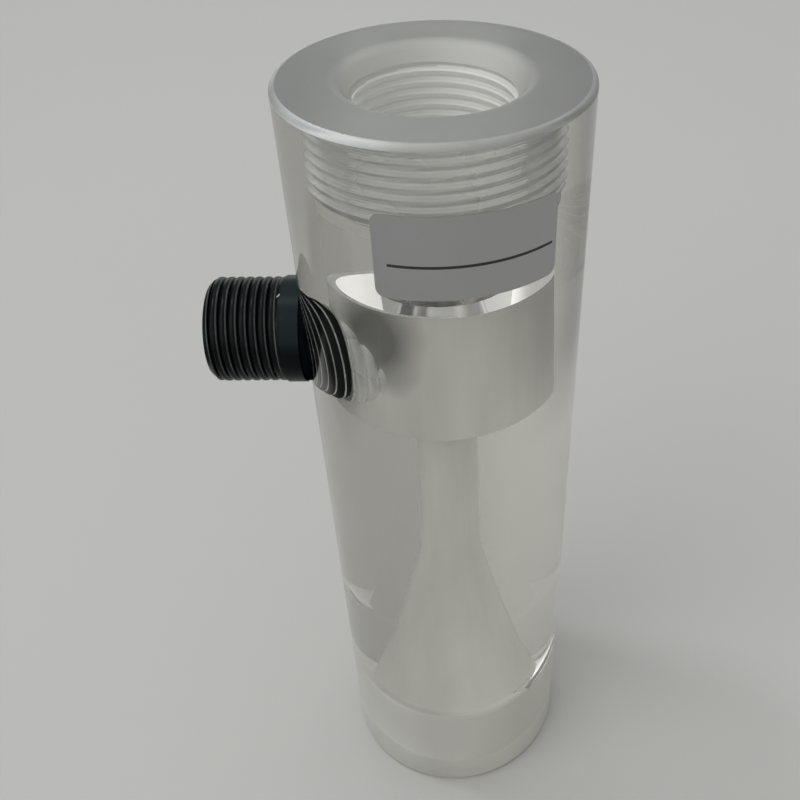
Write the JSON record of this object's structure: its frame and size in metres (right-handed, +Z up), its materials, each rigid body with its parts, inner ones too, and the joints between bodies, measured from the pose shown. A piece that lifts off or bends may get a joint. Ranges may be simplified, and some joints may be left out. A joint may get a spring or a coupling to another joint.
{
  "type": "jet eductor",
  "caption": "Clear acrylic jet eductor: round block with screwed inlet, glued nozzle, suction chamber with black side nipple, throat, diffuser and plain outlet socket.",
  "frame": {"origin": "middle of the outlet face, on the flow axis", "axes": "+Z up the flow axis towards the inlet, -X out of the suction nipple, -Y towards the front with the label"},
  "size_m": [0.0803, 0.0602, 0.2],
  "materials": {
    "clear_acrylic": "clear acrylic, polished outside, matt where it was turned or bored",
    "nozzle_acrylic": "clear acrylic, matt bore and spout",
    "black_plastic": "moulded black plastic, satin",
    "silver_film": "matt silver film"
  },
  "bodies": {
    "root": {"block": "clear_acrylic", "nozzle": "nozzle_acrylic", "suction_nipple": "black_plastic", "label": "silver_film"}
  },
  "joints": []
}
